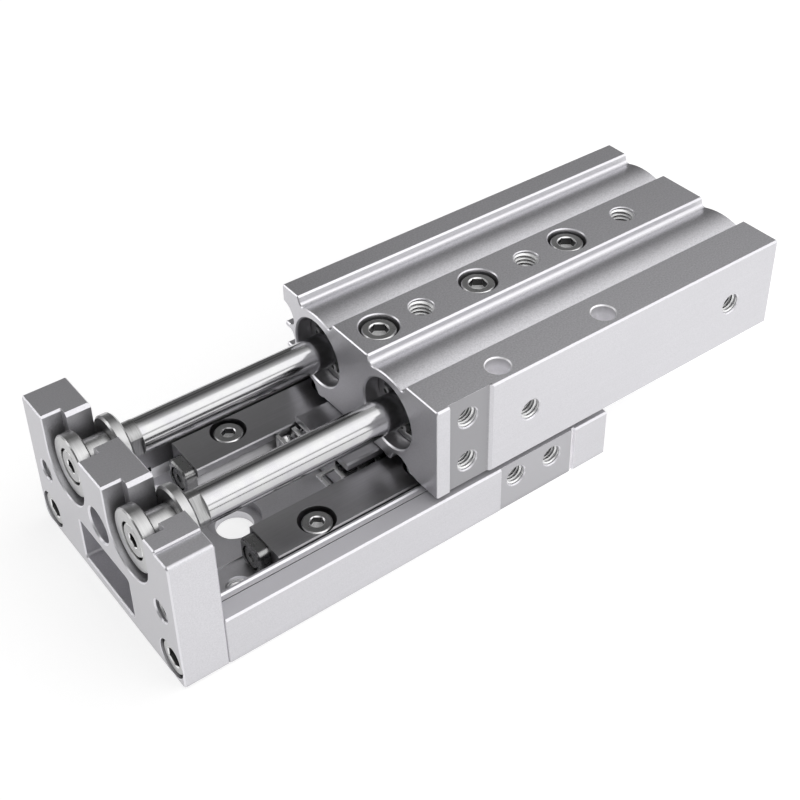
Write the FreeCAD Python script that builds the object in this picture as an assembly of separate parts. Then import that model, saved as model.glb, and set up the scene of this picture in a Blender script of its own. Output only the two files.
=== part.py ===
import FreeCAD, Part
import math
import os

os.makedirs("parts", exist_ok=True)

V = FreeCAD.Vector

# ---------------------------------------------------------------- dimensions
# Working frame: x = 0 at the front face of the cylinder body, z = 0 at its top
# land, y = 0 midway between the rods, -y the side with the air ports.
# Everything is moved to the object frame when it is written.
STROKE = 40.0          # table travel
TABLE_W = 62.0         # table and end plate width
HEIGHT = 38.0          # table underside to body top
BODY_L = 102.0
BODY_H = 24.0
BODY_Y0 = -31.0        # port side
BODY_Y1 = 26.5         # sensor-groove side

ROD_Y = 13.35          # rod axes at +-ROD_Y
ROD_Z = -11.9
ROD_D = 8.0
BORE_D = 16.0
MOUTH_D = 17.0         # counterbore at both ends of each bore
MOUTH_FRONT = 20.0
MOUTH_REAR = 92.0
RING_X = 4.5           # front retaining ring
REAR_RING_X = 99.0     # rear retaining ring
RING_T = 1.1

PLATE_X0 = -62.9       # end plate front
PLATE_X1 = -52.6       # end plate back
PLATE_TOP = -3.6
PLATE_STEP_X = -58.2   # where the wide front slot becomes narrow
SLOT_R_FRONT = 8.3
SLOT_R_BACK = 6.0

TABLE_X0 = PLATE_X1
TABLE_X1 = 49.4
WALL_TOP = -25.4
WALL_IN = 24.0
FLOOR_Z = -34.4        # rail seats
FLOOR_MID = -34.0      # channel floor between them
BOTTOM_Z = -HEIGHT

RAIL_X0, RAIL_X1 = -34.5, 46.2
RAIL_Y0, RAIL_Y1 = 10.8, 22.3
RAIL_TOP = -26.4
RAIL_SCREW_X = (-22.2, 5.8, 33.8)
RAIL_SCREW_Y = 18.0

GUIDE_X0, GUIDE_X1 = -8.8, 80.0
GUIDE_FLANGE = 10.3
GUIDE_NECK = 5.4
GUIDE_SIDE = 8.8
TRACK_Z = -30.2        # height of the roller tracks
TRACK_Y = 9.8          # roller centre line
TRACK_D = 4.0          # track size
ROLLER_D = 3.4
ROLLER_N = 13
ROLLER_PITCH = 4.6
ROLLER_X0 = -11.8
CAGE_X0, CAGE_X1 = -14.3, 45.9

GUIDE_SCREW_X = (8.0, 36.0, 63.2)
GUIDE_HEAD_Z = -0.75    # top of their heads
TAP_TOP_X = (19.7, 50.5, 81.3)
DOWEL_X = (19.7, 50.0)
DOWEL_Y = -26.5
PORT_X = (25.6, 87.8)
PORT_Z = -12.2
PAD_X0, PAD_X1 = 3.3, 14.2
PAD_TAP_X = 8.7
PAD_TAP_Z = (-6.1, -18.1)
TPAD_X0, TPAD_X1 = 17.8, 38.8
TPAD_TAP_X = (22.5, 33.0)
TPAD_TAP_Z = -30.1
M5_R = 2.5             # tapped M5, nominal radius
M6_R = 3.0             # tapped M6, nominal radius
EDGE = 0.25            # broken edges

# Object frame: origin at the middle of the footprint, on the table underside.
SHIFT = V(-(PLATE_X0 + BODY_L) / 2.0, 0, HEIGHT)


# ------------------------------------------------------------------- helpers
def box(x0, x1, y0, y1, z0, z1):
    return Part.makeBox(x1 - x0, y1 - y0, z1 - z0, V(x0, y0, z0))


def cyl(r, p, d, h):
    return Part.makeCylinder(r, h, V(*p), V(*d))


def cone(r0, r1, p, d, h):
    return Part.makeCone(r0, r1, h, V(*p), V(*d))


def ring(ro, ri, x0, x1, y, z):
    return cyl(ro, (x0, y, z), (1, 0, 0), x1 - x0).cut(
        cyl(ri, (x0 - 1, y, z), (1, 0, 0), x1 - x0 + 2)
    )


def profile(start, steps):
    """Closed wire in the y-z plane. A step is (y, z) for a line and
    (ym, zm, y, z) for an arc through (ym, zm)."""
    here = V(0, *start)
    first = here
    edges = []
    for s in steps:
        if len(s) == 2:
            there = V(0, *s)
            edges.append(Part.LineSegment(here, there).toShape())
        else:
            there = V(0, s[2], s[3])
            edges.append(Part.Arc(here, V(0, s[0], s[1]), there).toShape())
        here = there
    if (here - first).Length > 1e-6:
        edges.append(Part.LineSegment(here, first).toShape())
    return Part.Wire(edges)


def prism(wire, x0, x1):
    w = wire.copy()
    w.translate(V(x0, 0, 0))
    return Part.Face(w).extrude(V(x1 - x0, 0, 0))


def hexagon(af, p, d, h, turn=0.0):
    """Hexagonal prism of width af across flats, from p along d."""
    r = af / math.sqrt(3)
    pts = [V(r * math.cos(a), r * math.sin(a), 0) for a in
           [math.radians(turn + 60 * (i % 6)) for i in range(7)]]
    solid = Part.Face(Part.makePolygon(pts)).extrude(V(0, 0, h))
    turn = FreeCAD.Rotation(V(0, 0, 1), V(*d))
    solid.Placement = FreeCAD.Placement(V(*p), turn)
    return solid


def off(p, d, t):
    return (p[0] + d[0] * t, p[1] + d[1] * t, p[2] + d[2] * t)


def tapped(r, p, d, depth, lead=0.28):
    """Tapped hole: straight wall with a lead-in chamfer, from the mouth p
    along d."""
    q = off(p, d, -0.5)
    hole = cyl(r, q, d, depth + 0.5)
    return hole.fuse(cone(r + lead + 0.5, r, q, d, lead + 0.5))


def cap_screw(head_d, head_h, shank_d, length, af, p, d, turn=0.0):
    """Socket head cap screw. p is the middle of the head's top, d points
    down the shank."""
    seat = off(p, d, head_h)
    r = head_d / 2.0
    c = 0.05 * head_d
    head = cyl(r, off(p, d, c), d, head_h - c).fuse(cone(r - c, r, p, d, c))
    shank = cyl(shank_d / 2.0, seat, d, length - 0.5)
    tip = cone(shank_d / 2.0, shank_d / 2.0 - 0.5, off(seat, d, length - 0.5), d, 0.5)
    s = head.fuse(shank).fuse(tip)
    s = s.cut(hexagon(af, off(p, d, -0.5), d, 0.5 + 0.42 * head_h, turn))
    s = s.cut(cone(0.61 * af, 0.61 * af - 0.30, off(p, d, -0.001), d, 0.2))
    return s.removeSplitter()


def end_edges(shape, x):
    """Outer edges of the largest flat face at x."""
    flat = [f for f in shape.Faces if f.BoundBox.XLength < 1e-4 and abs(f.BoundBox.XMin - x) < 1e-4]
    return max(flat, key=lambda f: f.Area).OuterWire.Edges


def points_of(wire):
    """Corner points of a y-z wire, with its arcs cut into short chords."""
    pts = []
    for e in wire.OrderedEdges:
        line = [v for v in e.discretize(2 if e.Curve.TypeId == "Part::GeomLine" else 9)]
        if pts and (line[-1] - pts[-1]).Length < (line[0] - pts[-1]).Length:
            line.reverse()
        pts += [(v.y, v.z) for v in line] if not pts else [(v.y, v.z) for v in line[1:]]
        pts = [V(0, *q) if isinstance(q, tuple) else q for q in pts]
    return pts[:-1]


def inset(pts, c):
    """Points of a closed y-z polygon moved inwards by c, with mitred corners."""
    n = len(pts)
    area = sum(pts[i].y * pts[(i + 1) % n].z - pts[(i + 1) % n].y * pts[i].z for i in range(n))
    turn = 1.0 if area > 0 else -1.0
    out = []
    for i in range(n):
        a, b, d = pts[i - 1], pts[i], pts[(i + 1) % n]
        u, w = (b - a).normalize(), (d - b).normalize()
        nu, nw = V(0, -u.z * turn, u.y * turn), V(0, -w.z * turn, w.y * turn)
        m = nu + nw
        out.append(b + m * (2.0 * c / m.dot(m)))
    return out


def bevel_end(shape, wire, x, d, c):
    """Breaks all outer edges of a profile's end face at x; d points inwards."""
    pts = points_of(wire)

    def loop(q, at):
        q = [V(at, v.y, v.z) for v in q]
        return Part.makePolygon(q + [q[0]])

    core = Part.makeLoft([loop(inset(pts, c + 0.2), x - 0.2 * d), loop(inset(pts, -0.02), x + (c + 0.02) * d)], True, True)
    bb = shape.BoundBox
    x0, x1 = sorted((x - 0.1 * d, x + (c + 0.01) * d))
    slab = box(x0, x1, bb.YMin - 2, bb.YMax + 2, bb.ZMin - 2, bb.ZMax + 2)
    return shape.cut(slab.cut(core))


def write(name, *shapes):
    moved = []
    for s in shapes:
        t = s.copy()
        t.translate(SHIFT)
        moved.append(t)
    out = moved[0] if len(moved) == 1 else Part.makeCompound(moved)
    out.exportStep("parts/" + name + ".step")


def both(f):
    return [f(-1), f(1)]


# ------------------------------------------------------------- cylinder body
body_wire = profile(
    (-30.6, -24.0),
    [
        (-31.0, -23.6), (-31.0, -0.4), (-30.6, 0.0), (-20.4, 0.0), (-20.0, -0.4),
        (-19.7, -1.2), (-19.25, -1.9, -18.3, -2.05), (-13.4, -1.3, -8.5, -2.05),
        (-7.4, -1.75, -6.95, -0.9), (-6.8, -0.4), (-6.4, 0.0),
        (6.4, 0.0), (6.8, -0.4), (6.95, -0.9), (7.4, -1.75, 8.5, -2.05),
        (13.4, -1.3, 18.3, -2.05), (19.25, -1.9, 19.7, -1.2), (20.0, -0.4),
        (20.4, 0.0), (26.1, 0.0), (26.5, -0.4), (26.5, -4.6),
        (24.0, -5.7, 22.8, -7.9), (23.1, -9.5, 24.3, -10.2),
        (25.8, -10.2), (26.3, -10.9, 25.8, -11.6), (24.0, -11.6),
        (22.8, -14.0, 24.0, -16.4), (25.8, -16.4), (26.3, -17.05, 25.8, -17.7),
        (24.2, -17.7), (23.3, -19.0, 24.2, -20.3), (26.1, -20.3), (26.5, -20.7),
        (26.5, -23.6), (26.1, -24.0), (25.4, -24.0),
        (21.8, -23.35, 19.4, -21.9), (17.4, -21.3, 15.2, -22.3),
        (13.9, -24.5), (12.4, -24.5), (11.8, -24.0),
        (-11.8, -24.0), (-12.4, -24.5), (-13.9, -24.5),
        (-15.2, -22.3), (-17.4, -21.3, -19.4, -21.9),
        (-21.8, -23.35, -25.4, -24.0),
    ],
)
body = prism(body_wire, 0, BODY_L)
body = bevel_end(body, body_wire, 0, 1, EDGE)
body = bevel_end(body, body_wire, BODY_L, -1, EDGE)
for s in (-1, 1):
    y = s * ROD_Y
    body = body.cut(cyl(BORE_D / 2, (-1, y, ROD_Z), (1, 0, 0), BODY_L + 2))
    body = body.cut(cyl(MOUTH_D / 2, (-1, y, ROD_Z), (1, 0, 0), MOUTH_FRONT + 1))
    body = body.cut(cyl(MOUTH_D / 2, (MOUTH_REAR, y, ROD_Z), (1, 0, 0), BODY_L))
    body = body.cut(cone(MOUTH_D / 2 + 0.45, MOUTH_D / 2, (-0.1, y, ROD_Z), (1, 0, 0), 0.45))
    body = body.cut(cone(MOUTH_D / 2, MOUTH_D / 2 + 0.45, (BODY_L - 0.35, y, ROD_Z), (1, 0, 0), 0.45))
    for g0, g1 in ((RING_X - 1.1, RING_X + RING_T + 0.05), (REAR_RING_X - 0.05, REAR_RING_X + RING_T + 0.05)):
        body = body.cut(ring(MOUTH_D / 2 + 0.7, MOUTH_D / 2 - 0.5, g0, g1, y, ROD_Z))
# machined pad on the port side
pad = Part.makePolygon([V(x, y, -25) for x, y in (
    (PAD_X0, BODY_Y0 - 1), (PAD_X0, BODY_Y0 + 0.8), (PAD_X1, BODY_Y0 + 0.8),
    (PAD_X1 + 0.8, BODY_Y0), (PAD_X1 + 0.8, BODY_Y0 - 1), (PAD_X0, BODY_Y0 - 1))])
body = body.cut(Part.Face(pad).extrude(V(0, 0, 26)))
for z in PAD_TAP_Z:
    body = body.cut(tapped(M5_R, (PAD_TAP_X, BODY_Y0 + 0.8, z), (0, 1, 0), 7.0))
for x in PORT_X:
    body = body.cut(tapped(M5_R, (x, BODY_Y0, PORT_Z), (0, 1, 0), 14.0))
    body = body.cut(cyl(1.5, (x, -8, ROD_Z), (0, 1, 0), 16))
for x in GUIDE_SCREW_X:
    body = body.cut(cyl(4.6, (x, 0, GUIDE_HEAD_Z - 5.0), (0, 0, 1), 8))
    body = body.cut(cone(4.6, 4.95, (x, 0, -0.25), (0, 0, 1), 0.35))
    body = body.cut(cyl(2.75, (x, 0, -30), (0, 0, 1), 30))
for x in TAP_TOP_X:
    body = body.cut(tapped(M6_R, (x, 0, 0), (0, 0, -1), 10.0, 0.2))
for x in DOWEL_X:
    body = body.cut(cyl(2.75, (x, DOWEL_Y, -4.5), (0, 0, 1), 6))
    body = body.cut(cone(2.75, 3.15, (x, DOWEL_Y, -0.3), (0, 0, 1), 0.4))
write("cylinder_body", body)

# ------------------------------------------------- guide block and its screws
h = TRACK_D / math.sqrt(2)
depth = h - (TRACK_Y - GUIDE_SIDE)
right = [
    (GUIDE_FLANGE - 0.4, -24.0), (GUIDE_FLANGE, -24.4), (GUIDE_FLANGE, -25.8),
    (GUIDE_NECK, -25.8), (GUIDE_NECK, -27.9), (GUIDE_SIDE, -27.9),
    (GUIDE_SIDE, TRACK_Z + depth), (GUIDE_SIDE - depth, TRACK_Z),
    (GUIDE_SIDE, TRACK_Z - depth), (GUIDE_SIDE, -33.2), (GUIDE_SIDE - 0.4, -33.6),
]
left = [(-y, z) for y, z in reversed(right)]
guide = prism(profile(left[0], left[1:] + right), GUIDE_X0, GUIDE_X1)
for x in GUIDE_SCREW_X:
    guide = guide.cut(cyl(M5_R + 0.05, (x, 0, -32.0), (0, 0, 1), 9))
write("guide_block", guide)
write("guide_screws", *[
    cap_screw(8.0, 5.0, 4.9, 25.0, 4.0, (x, 0, GUIDE_HEAD_Z), (0, 0, -1), 37.0) for x in GUIDE_SCREW_X
])


# ------------------------------------------------------- cylinder end fittings
def rod_guide(s):
    y = s * ROD_Y
    x0, x1 = RING_X + RING_T + 0.15, MOUTH_FRONT - 0.1
    g = ring(MOUTH_D / 2 - 0.04, ROD_D / 2 + 0.05, x0, x1, y, ROD_Z)
    g = g.cut(cyl(6.2, (x0 - 1, y, ROD_Z), (1, 0, 0), 4.6))
    return g.cut(ring(10, 7.25, 14.2, 15.9, y, ROD_Z))


def rod_seal(s):
    y = s * ROD_Y
    x0 = RING_X + RING_T + 0.6
    r = ring(6.15, ROD_D / 2 + 0.06, x0, x0 + 3.0, y, ROD_Z)
    return r.cut(ring(5.4, 4.7, x0 - 0.1, x0 + 1.2, y, ROD_Z))


def o_ring(s, x):
    return Part.makeTorus(7.82, 0.56, V(x, s * ROD_Y, ROD_Z), V(1, 0, 0))


def snap_ring(s, x):
    """Internal retaining ring, open towards the lower left, with an eyelet at
    each end."""
    y = s * ROD_Y

    def at(r, deg):
        a = math.radians(deg)
        return V(x - 1, y + r * math.sin(a), ROD_Z + r * math.cos(a))

    r = ring(MOUTH_D / 2 + 0.45, MOUTH_D / 2 - 1.2, x, x + RING_T, y, ROD_Z)
    gap = Part.Face(Part.makePolygon([at(0, 0), at(14, 106), at(14, 133), at(14, 160), at(0, 0)]))
    r = r.cut(gap.extrude(V(RING_T + 2, 0, 0)))
    ends = [at(6.75, 93), at(6.75, 173)]
    for e in ends:
        r = r.fuse(cyl(1.55, (x, e.y, e.z), (1, 0, 0), RING_T))
    for e in ends:
        r = r.cut(cyl(0.65, (x - 1, e.y, e.z), (1, 0, 0), RING_T + 2))
    return r.removeSplitter()


def head_cap(s):
    y = s * ROD_Y
    x0, x1 = MOUTH_REAR + 0.05, REAR_RING_X - 0.15
    c = cyl(MOUTH_D / 2 - 0.04, (x0, y, ROD_Z), (1, 0, 0), x1 - x0)
    c = c.cut(cyl(4.6, (x1 - 2.2, y, ROD_Z), (1, 0, 0), 3))
    return c.cut(ring(10, 7.25, 93.6, 95.3, y, ROD_Z))


write("rod_guide_right", rod_guide(-1))
write("rod_guide_left", rod_guide(1))
write("rod_seals", *both(rod_seal))
write("rod_guide_o_rings", *both(lambda s: o_ring(s, 15.05)))
write("front_retaining_rings", *both(lambda s: snap_ring(s, RING_X)))
write("head_cap_right", head_cap(-1))
write("head_cap_left", head_cap(1))
write("head_cap_o_rings", *both(lambda s: o_ring(s, 94.45)))
write("rear_retaining_rings", *both(lambda s: snap_ring(s, REAR_RING_X)))

# --------------------------------------------------------------------- table
table_wire = profile(
    (-30.6, BOTTOM_Z),
    [
        (-31.0, BOTTOM_Z + 0.4), (-31.0, WALL_TOP - 0.4), (-30.6, WALL_TOP),
        (-26.3, WALL_TOP), (-26.3, WALL_TOP - 0.45), (-26.05, WALL_TOP - 0.45),
        (-26.05, WALL_TOP), (-25.0, WALL_TOP), (-24.6, WALL_TOP + 0.35),
        (-24.15, WALL_TOP + 0.35), (-24.0, WALL_TOP + 0.2), (-24.0, FLOOR_Z + 1.5),
        (-22.5, FLOOR_Z), (-10.7, FLOOR_Z), (-10.7, FLOOR_MID), (10.7, FLOOR_MID), (10.7, FLOOR_Z),
        (22.5, FLOOR_Z), (24.0, FLOOR_Z + 1.5), (24.0, WALL_TOP + 0.2), (24.15, WALL_TOP + 0.35),
        (24.6, WALL_TOP + 0.35), (25.0, WALL_TOP), (26.05, WALL_TOP),
        (26.05, WALL_TOP - 0.45), (26.3, WALL_TOP - 0.45), (26.3, WALL_TOP),
        (30.6, WALL_TOP),
        (31.0, WALL_TOP - 0.4), (31.0, BOTTOM_Z + 0.4), (30.6, BOTTOM_Z),
    ],
)
table = prism(table_wire, TABLE_X0, TABLE_X1)
table = table.makeChamfer(EDGE, end_edges(table, TABLE_X0) + end_edges(table, TABLE_X1))
HOLE_X = -32.4
table = table.cut(cyl(4.3, (HOLE_X, 0, BOTTOM_Z - 1), (0, 0, 1), 10))
table = table.cut(cyl(6.2, (HOLE_X, 0, -36.0), (0, 0, 1), 6))
TABLE_TAP_X = (-41.8, -11.8, 18.2)
TABLE_TAP_Y = 17.4
for x in TABLE_TAP_X:
    for s in (-1, 1):
        if x == TABLE_TAP_X[0]:
            table = table.cut(tapped(M5_R, (x, s * TABLE_TAP_Y, FLOOR_Z), (0, 0, -1), 6.0, 0.5))
        table = table.cut(tapped(M5_R, (x, s * TABLE_TAP_Y, BOTTOM_Z), (0, 0, 1), FLOOR_Z - BOTTOM_Z, 0.3))
for x in RAIL_SCREW_X:
    for s in (-1, 1):
        table = table.cut(cyl(2.05, (x, s * RAIL_SCREW_Y, -37.4), (0, 0, 1), 5))
# machined pad and tapped holes on the port side
table = table.cut(box(TPAD_X0, TPAD_X1, -32, -30.6, BOTTOM_Z - 1, WALL_TOP + 1))
table = table.cut(box(TPAD_X1, TPAD_X1 + 0.8, -32, -30.2, BOTTOM_Z - 1, WALL_TOP + 1))
for x in TPAD_TAP_X:
    table = table.cut(tapped(M5_R, (x, -30.6, TPAD_TAP_Z), (0, 1, 0), 5.6))
# threads for the end plate screws
PLATE_SCREW_Y, PLATE_SCREW_Z = 26.3, -33.3
for s in (-1, 1):
    table = table.cut(cyl(2.55, (TABLE_X0 - 1, s * PLATE_SCREW_Y, PLATE_SCREW_Z), (1, 0, 0), 14))
write("table", table)

# ----------------------------------------------------------------- end plate
c = 0.5
plate = prism(
    profile(
        (-30.5, BOTTOM_Z),
        [
            (-31.0, BOTTOM_Z + 0.5), (-31.0, PLATE_TOP - 1.6),
            (-30.74, PLATE_TOP - 0.96, -30.1, PLATE_TOP - 0.7),
            (-26.25, PLATE_TOP - 0.7), (-26.25, PLATE_TOP - 0.32), (-25.93, PLATE_TOP),
            (30.6, PLATE_TOP), (31.0, PLATE_TOP - 0.4), (31.0, BOTTOM_Z + 3.0),
            (30.12, BOTTOM_Z + 0.88, 28.0, BOTTOM_Z),
        ],
    ),
    PLATE_X0,
    PLATE_X1,
)
window = box(PLATE_X0 - 1, PLATE_X1 + 1, -10.9, 10.9, -35.3, -24.2)
window = window.makeFillet(0.8, [e for e in window.Edges if abs(e.Vertexes[0].X - e.Vertexes[-1].X) > 1])
plate = plate.cut(window)
rims = [e for e in plate.Edges if e.BoundBox.XLength < 1e-6]
plate = plate.makeChamfer(0.3, rims)
for s in (-1, 1):
    y = s * ROD_Y
    plate = plate.cut(cyl(SLOT_R_FRONT, (PLATE_X0 - 1, y, ROD_Z), (1, 0, 0), PLATE_STEP_X - PLATE_X0 + 1))
    plate = plate.cut(box(PLATE_X0 - 1, PLATE_STEP_X, y - SLOT_R_FRONT, y + SLOT_R_FRONT, ROD_Z, 1))
    plate = plate.cut(cyl(SLOT_R_BACK, (PLATE_X0, y, ROD_Z), (1, 0, 0), 20))
    plate = plate.cut(box(PLATE_X0, PLATE_X1 + 1, y - SLOT_R_BACK, y + SLOT_R_BACK, ROD_Z, 1))
    # broken front edges of the slot
    plate = plate.cut(cone(SLOT_R_FRONT + EDGE + 0.2, SLOT_R_FRONT, (PLATE_X0 - 0.2, y, ROD_Z), (1, 0, 0), EDGE + 0.2))
    for k in (-1, 1):
        e = y + k * SLOT_R_FRONT
        corner = Part.makePolygon([V(PLATE_X0 + EDGE, e, ROD_Z), V(PLATE_X0 - 0.2, e + k * (EDGE + 0.2), ROD_Z),
                                   V(PLATE_X0 - 0.2, e - k, ROD_Z), V(PLATE_X0 + EDGE, e - k, ROD_Z), V(PLATE_X0 + EDGE, e, ROD_Z)])
        plate = plate.cut(Part.Face(corner).extrude(V(0, 0, 20)))
    # broken top edges of the slot, wider on its narrow back part
    for k in (-1, 1):
        for r, c, x0, x1 in (
            (SLOT_R_FRONT, 0.45, PLATE_X0 - 1, PLATE_STEP_X),
            (SLOT_R_BACK, 0.8, PLATE_STEP_X - 0.01, PLATE_X1 + 1),
        ):
            e = y + k * r
            cut = profile((e, PLATE_TOP - c), [(e + k * (c + 0.2), PLATE_TOP + 0.2), (e - k * 0.5, PLATE_TOP + 0.2), (e - k * 0.5, PLATE_TOP - c)])
            plate = plate.cut(prism(cut, x0, x1))
    # screw counterbore and clearance hole
    p = (PLATE_X0, s * PLATE_SCREW_Y, PLATE_SCREW_Z)
    plate = plate.cut(cyl(4.4, off(p, (1, 0, 0), -1), (1, 0, 0), 6.6))
    plate = plate.cut(cone(4.4 + 0.15 + 0.2, 4.4, off(p, (1, 0, 0), -0.2), (1, 0, 0), 0.35))
    plate = plate.cut(cyl(2.75, p, (1, 0, 0), 20))
    plate = plate.cut(tapped(M5_R, (PLATE_X0, s * 25.0, -20.7), (1, 0, 0), 12, 0.3))
plate = plate.cut(cyl(4.1, (PLATE_X0 - 1, 0, -17.5), (1, 0, 0), 20))
plate = plate.cut(cone(4.6, 4.1, (PLATE_X0 - 0.1, 0, -17.5), (1, 0, 0), 0.5))
write("end_plate", plate)
write("end_plate_screws", *both(lambda s: cap_screw(
    8.2, 5.0, 4.9, 15.0, 4.0, (PLATE_X0 + 0.5, s * PLATE_SCREW_Y, PLATE_SCREW_Z), (1, 0, 0))))


# -------------------------------------------------------- rails and end stops
def rail(s):
    d = h - (RAIL_Y0 * -1 + TRACK_Y) * -1
    pts = [
        (RAIL_Y0 + 0.3, RAIL_TOP), (RAIL_Y0, RAIL_TOP - 0.3), (RAIL_Y0, TRACK_Z + d),
        (RAIL_Y0 + d, TRACK_Z), (RAIL_Y0, TRACK_Z - d), (RAIL_Y0, FLOOR_Z),
        (RAIL_Y1, FLOOR_Z), (RAIL_Y1, RAIL_TOP - 0.3), (RAIL_Y1 - 0.3, RAIL_TOP),
    ]
    pts = [(s * y, z) for y, z in pts]
    r = prism(profile(pts[0], pts[1:]), RAIL_X0, RAIL_X1)
    for x in RAIL_SCREW_X:
        y = s * RAIL_SCREW_Y
        r = r.cut(cyl(4.25, (x, y, RAIL_TOP - 4.6), (0, 0, 1), 6))
        r = r.cut(cyl(2.25, (x, y, FLOOR_Z - 1), (0, 0, 1), 10))
    for x, d1 in ((RAIL_X0, 1), (RAIL_X1, -1)):
        r = r.cut(cyl(1.25, (x, s * STOP_Y, STOP_Z), (d1, 0, 0), 7))
    return r


STOP_Y, STOP_Z = 15.2, -30.6
STOP_T = 2.9


def stop(s, front):
    """Rounded block screwed to the end of a rail."""
    x0 = RAIL_X0 - STOP_T if front else RAIL_X1 + 0.02
    x1 = x0 + STOP_T - (0.02 if front else 0.0)
    b = box(x0, x1, s * STOP_Y - 3.9, s * STOP_Y + 3.9, -33.8, -27.0)
    b = b.makeFillet(1.6, [e for e in b.Edges if abs(e.Vertexes[0].X - e.Vertexes[-1].X) > 1])
    face = x0 if front else x1
    rim = [e for e in b.Edges if all(abs(v.X - face) < 1e-6 for v in e.Vertexes)]
    b = b.makeChamfer(0.4, rim)
    d = (1, 0, 0) if front else (-1, 0, 0)
    p = (face, s * STOP_Y, STOP_Z)
    b = b.cut(cyl(2.9, off(p, d, -1), d, 2.3))
    return b.cut(cyl(1.65, p, d, 6))


def stop_screw(s, front):
    x = RAIL_X0 - STOP_T + 0.22 if front else RAIL_X1 + STOP_T - 0.2
    d = (1, 0, 0) if front else (-1, 0, 0)
    return cap_screw(5.4, 1.05, 2.4, 6.5, 2.0, (x, s * STOP_Y, STOP_Z), d)


write("rail_right", rail(-1))
write("rail_left", rail(1))
write("rail_screws", *[
    cap_screw(6.9, 4.0, 3.9, 5.8, 3.0, (x, s * RAIL_SCREW_Y, RAIL_TOP - 0.6), (0, 0, -1), 37.0)
    for s in (-1, 1) for x in RAIL_SCREW_X
])
write("rail_stops", *[stop(s, f) for s in (-1, 1) for f in (True, False)])
write("stop_screws", *[stop_screw(s, f) for s in (-1, 1) for f in (True, False)])

# ------------------------------------------------------------ rods and pistons
WASHER_X0, WASHER_X1 = PLATE_X1 + 0.1, -49.8
FLAT_X1 = -46.2         # wrench flats
FLAT_AF = 6.0
FLAT_TURN = {-1: 48.0, 1: 98.0}  # their normal, from +z towards -y
PISTON_X0, PISTON_X1 = 28.0, 44.0
BUSH_X0, BUSH_X1 = -61.6, PLATE_STEP_X - 0.3


def rod(s):
    y = s * ROD_Y
    x0 = WASHER_X1 + 0.02
    r = cyl(ROD_D / 2, (x0, y, ROD_Z), (1, 0, 0), PISTON_X1 - x0)
    for k in (-1, 1):
        cut = box(x0 - 1, FLAT_X1, -6, 6, FLAT_AF / 2, 6) if k > 0 else box(x0 - 1, FLAT_X1, -6, 6, -6, -FLAT_AF / 2)
        cut.rotate(V(0, 0, 0), V(1, 0, 0), FLAT_TURN[s])
        cut.translate(V(0, y, ROD_Z))
        r = r.cut(cut)
    return r.cut(cyl(2.5, (WASHER_X1 - 1, y, ROD_Z), (1, 0, 0), 10))


def washer(s):
    y = s * ROD_Y
    w = ring(7.4, 2.6, WASHER_X0, WASHER_X1, y, ROD_Z)
    rim = [e for e in w.Edges if e.Curve.TypeId == "Part::GeomCircle" and abs(e.Curve.Radius - 7.4) < 1e-3]
    return w.makeChamfer(0.45, rim)


def bush(s):
    y = s * ROD_Y
    b = cyl(7.1, (BUSH_X0, y, ROD_Z), (1, 0, 0), BUSH_X1 - BUSH_X0)
    rim = [e for e in b.Edges if e.Curve.TypeId == "Part::GeomCircle"]
    b = b.makeChamfer(0.3, rim)
    b = b.fuse(cyl(4.1, (BUSH_X1 - 0.5, y, ROD_Z), (1, 0, 0), WASHER_X0 - BUSH_X1 + 0.48))
    b = b.cut(cyl(4.2, (BUSH_X0 - 1, y, ROD_Z), (1, 0, 0), 3.4))
    b = b.cut(cone(4.3, 4.2, (BUSH_X0 - 0.01, y, ROD_Z), (1, 0, 0), 0.1))
    return b.cut(cyl(2.6, (BUSH_X0, y, ROD_Z), (1, 0, 0), 20)).removeSplitter()


def end_screw(s):
    return cap_screw(7.8, 2.25, 4.9, 16.5, 3.0, (BUSH_X0 + 0.15, s * ROD_Y, ROD_Z), (1, 0, 0))


def piston(s):
    y = s * ROD_Y
    p = ring(BORE_D / 2 - 0.1, ROD_D / 2 + 0.02, PISTON_X0, PISTON_X1, y, ROD_Z)
    p = p.cut(ring(10, 6.3, 30.4, 33.2, y, ROD_Z))
    return p.cut(ring(10, 6.0, 35.6, 40.4, y, ROD_Z))


def piston_seal(s):
    return ring(BORE_D / 2 - 0.05, 6.35, 30.5, 33.1, s * ROD_Y, ROD_Z)


def magnet(s):
    return ring(BORE_D / 2 - 0.35, 6.05, 35.7, 40.3, s * ROD_Y, ROD_Z)


def bumpers(s):
    y = s * ROD_Y
    return [
        ring(5.6, ROD_D / 2 + 0.05, PISTON_X0 - 3.5, PISTON_X0 - 0.02, y, ROD_Z),
        cyl(5.6, (PISTON_X1 + 0.02, y, ROD_Z), (1, 0, 0), 2.9),
    ]


for s, side in ((-1, "right"), (1, "left")):
    write("piston_rod_" + side, rod(s))
    write("rod_washer_" + side, washer(s))
    write("float_bush_" + side, bush(s))
    write("rod_end_screw_" + side, end_screw(s))
    write("piston_" + side, piston(s))
write("piston_seals", *both(piston_seal))
write("piston_magnets", *both(magnet))
write("piston_bumpers", *(bumpers(-1) + bumpers(1)))


# -------------------------------------------------------- cages and rollers
def roller_axis(s, i):
    k = 1 if i % 2 == 0 else -1
    q = math.sqrt(0.5)
    return (0, s * q, k * q)


def roller(s, i, r, length):
    a = roller_axis(s, i)
    p = (ROLLER_X0 + i * ROLLER_PITCH, s * TRACK_Y, TRACK_Z)
    return cyl(r, off(p, a, -length / 2), a, length)


def chamfered_roller(s, i):
    c = roller(s, i, ROLLER_D / 2, ROLLER_D)
    rim = [e for e in c.Edges if e.Curve.TypeId == "Part::GeomCircle"]
    return c.makeChamfer(0.25, rim)


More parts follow.
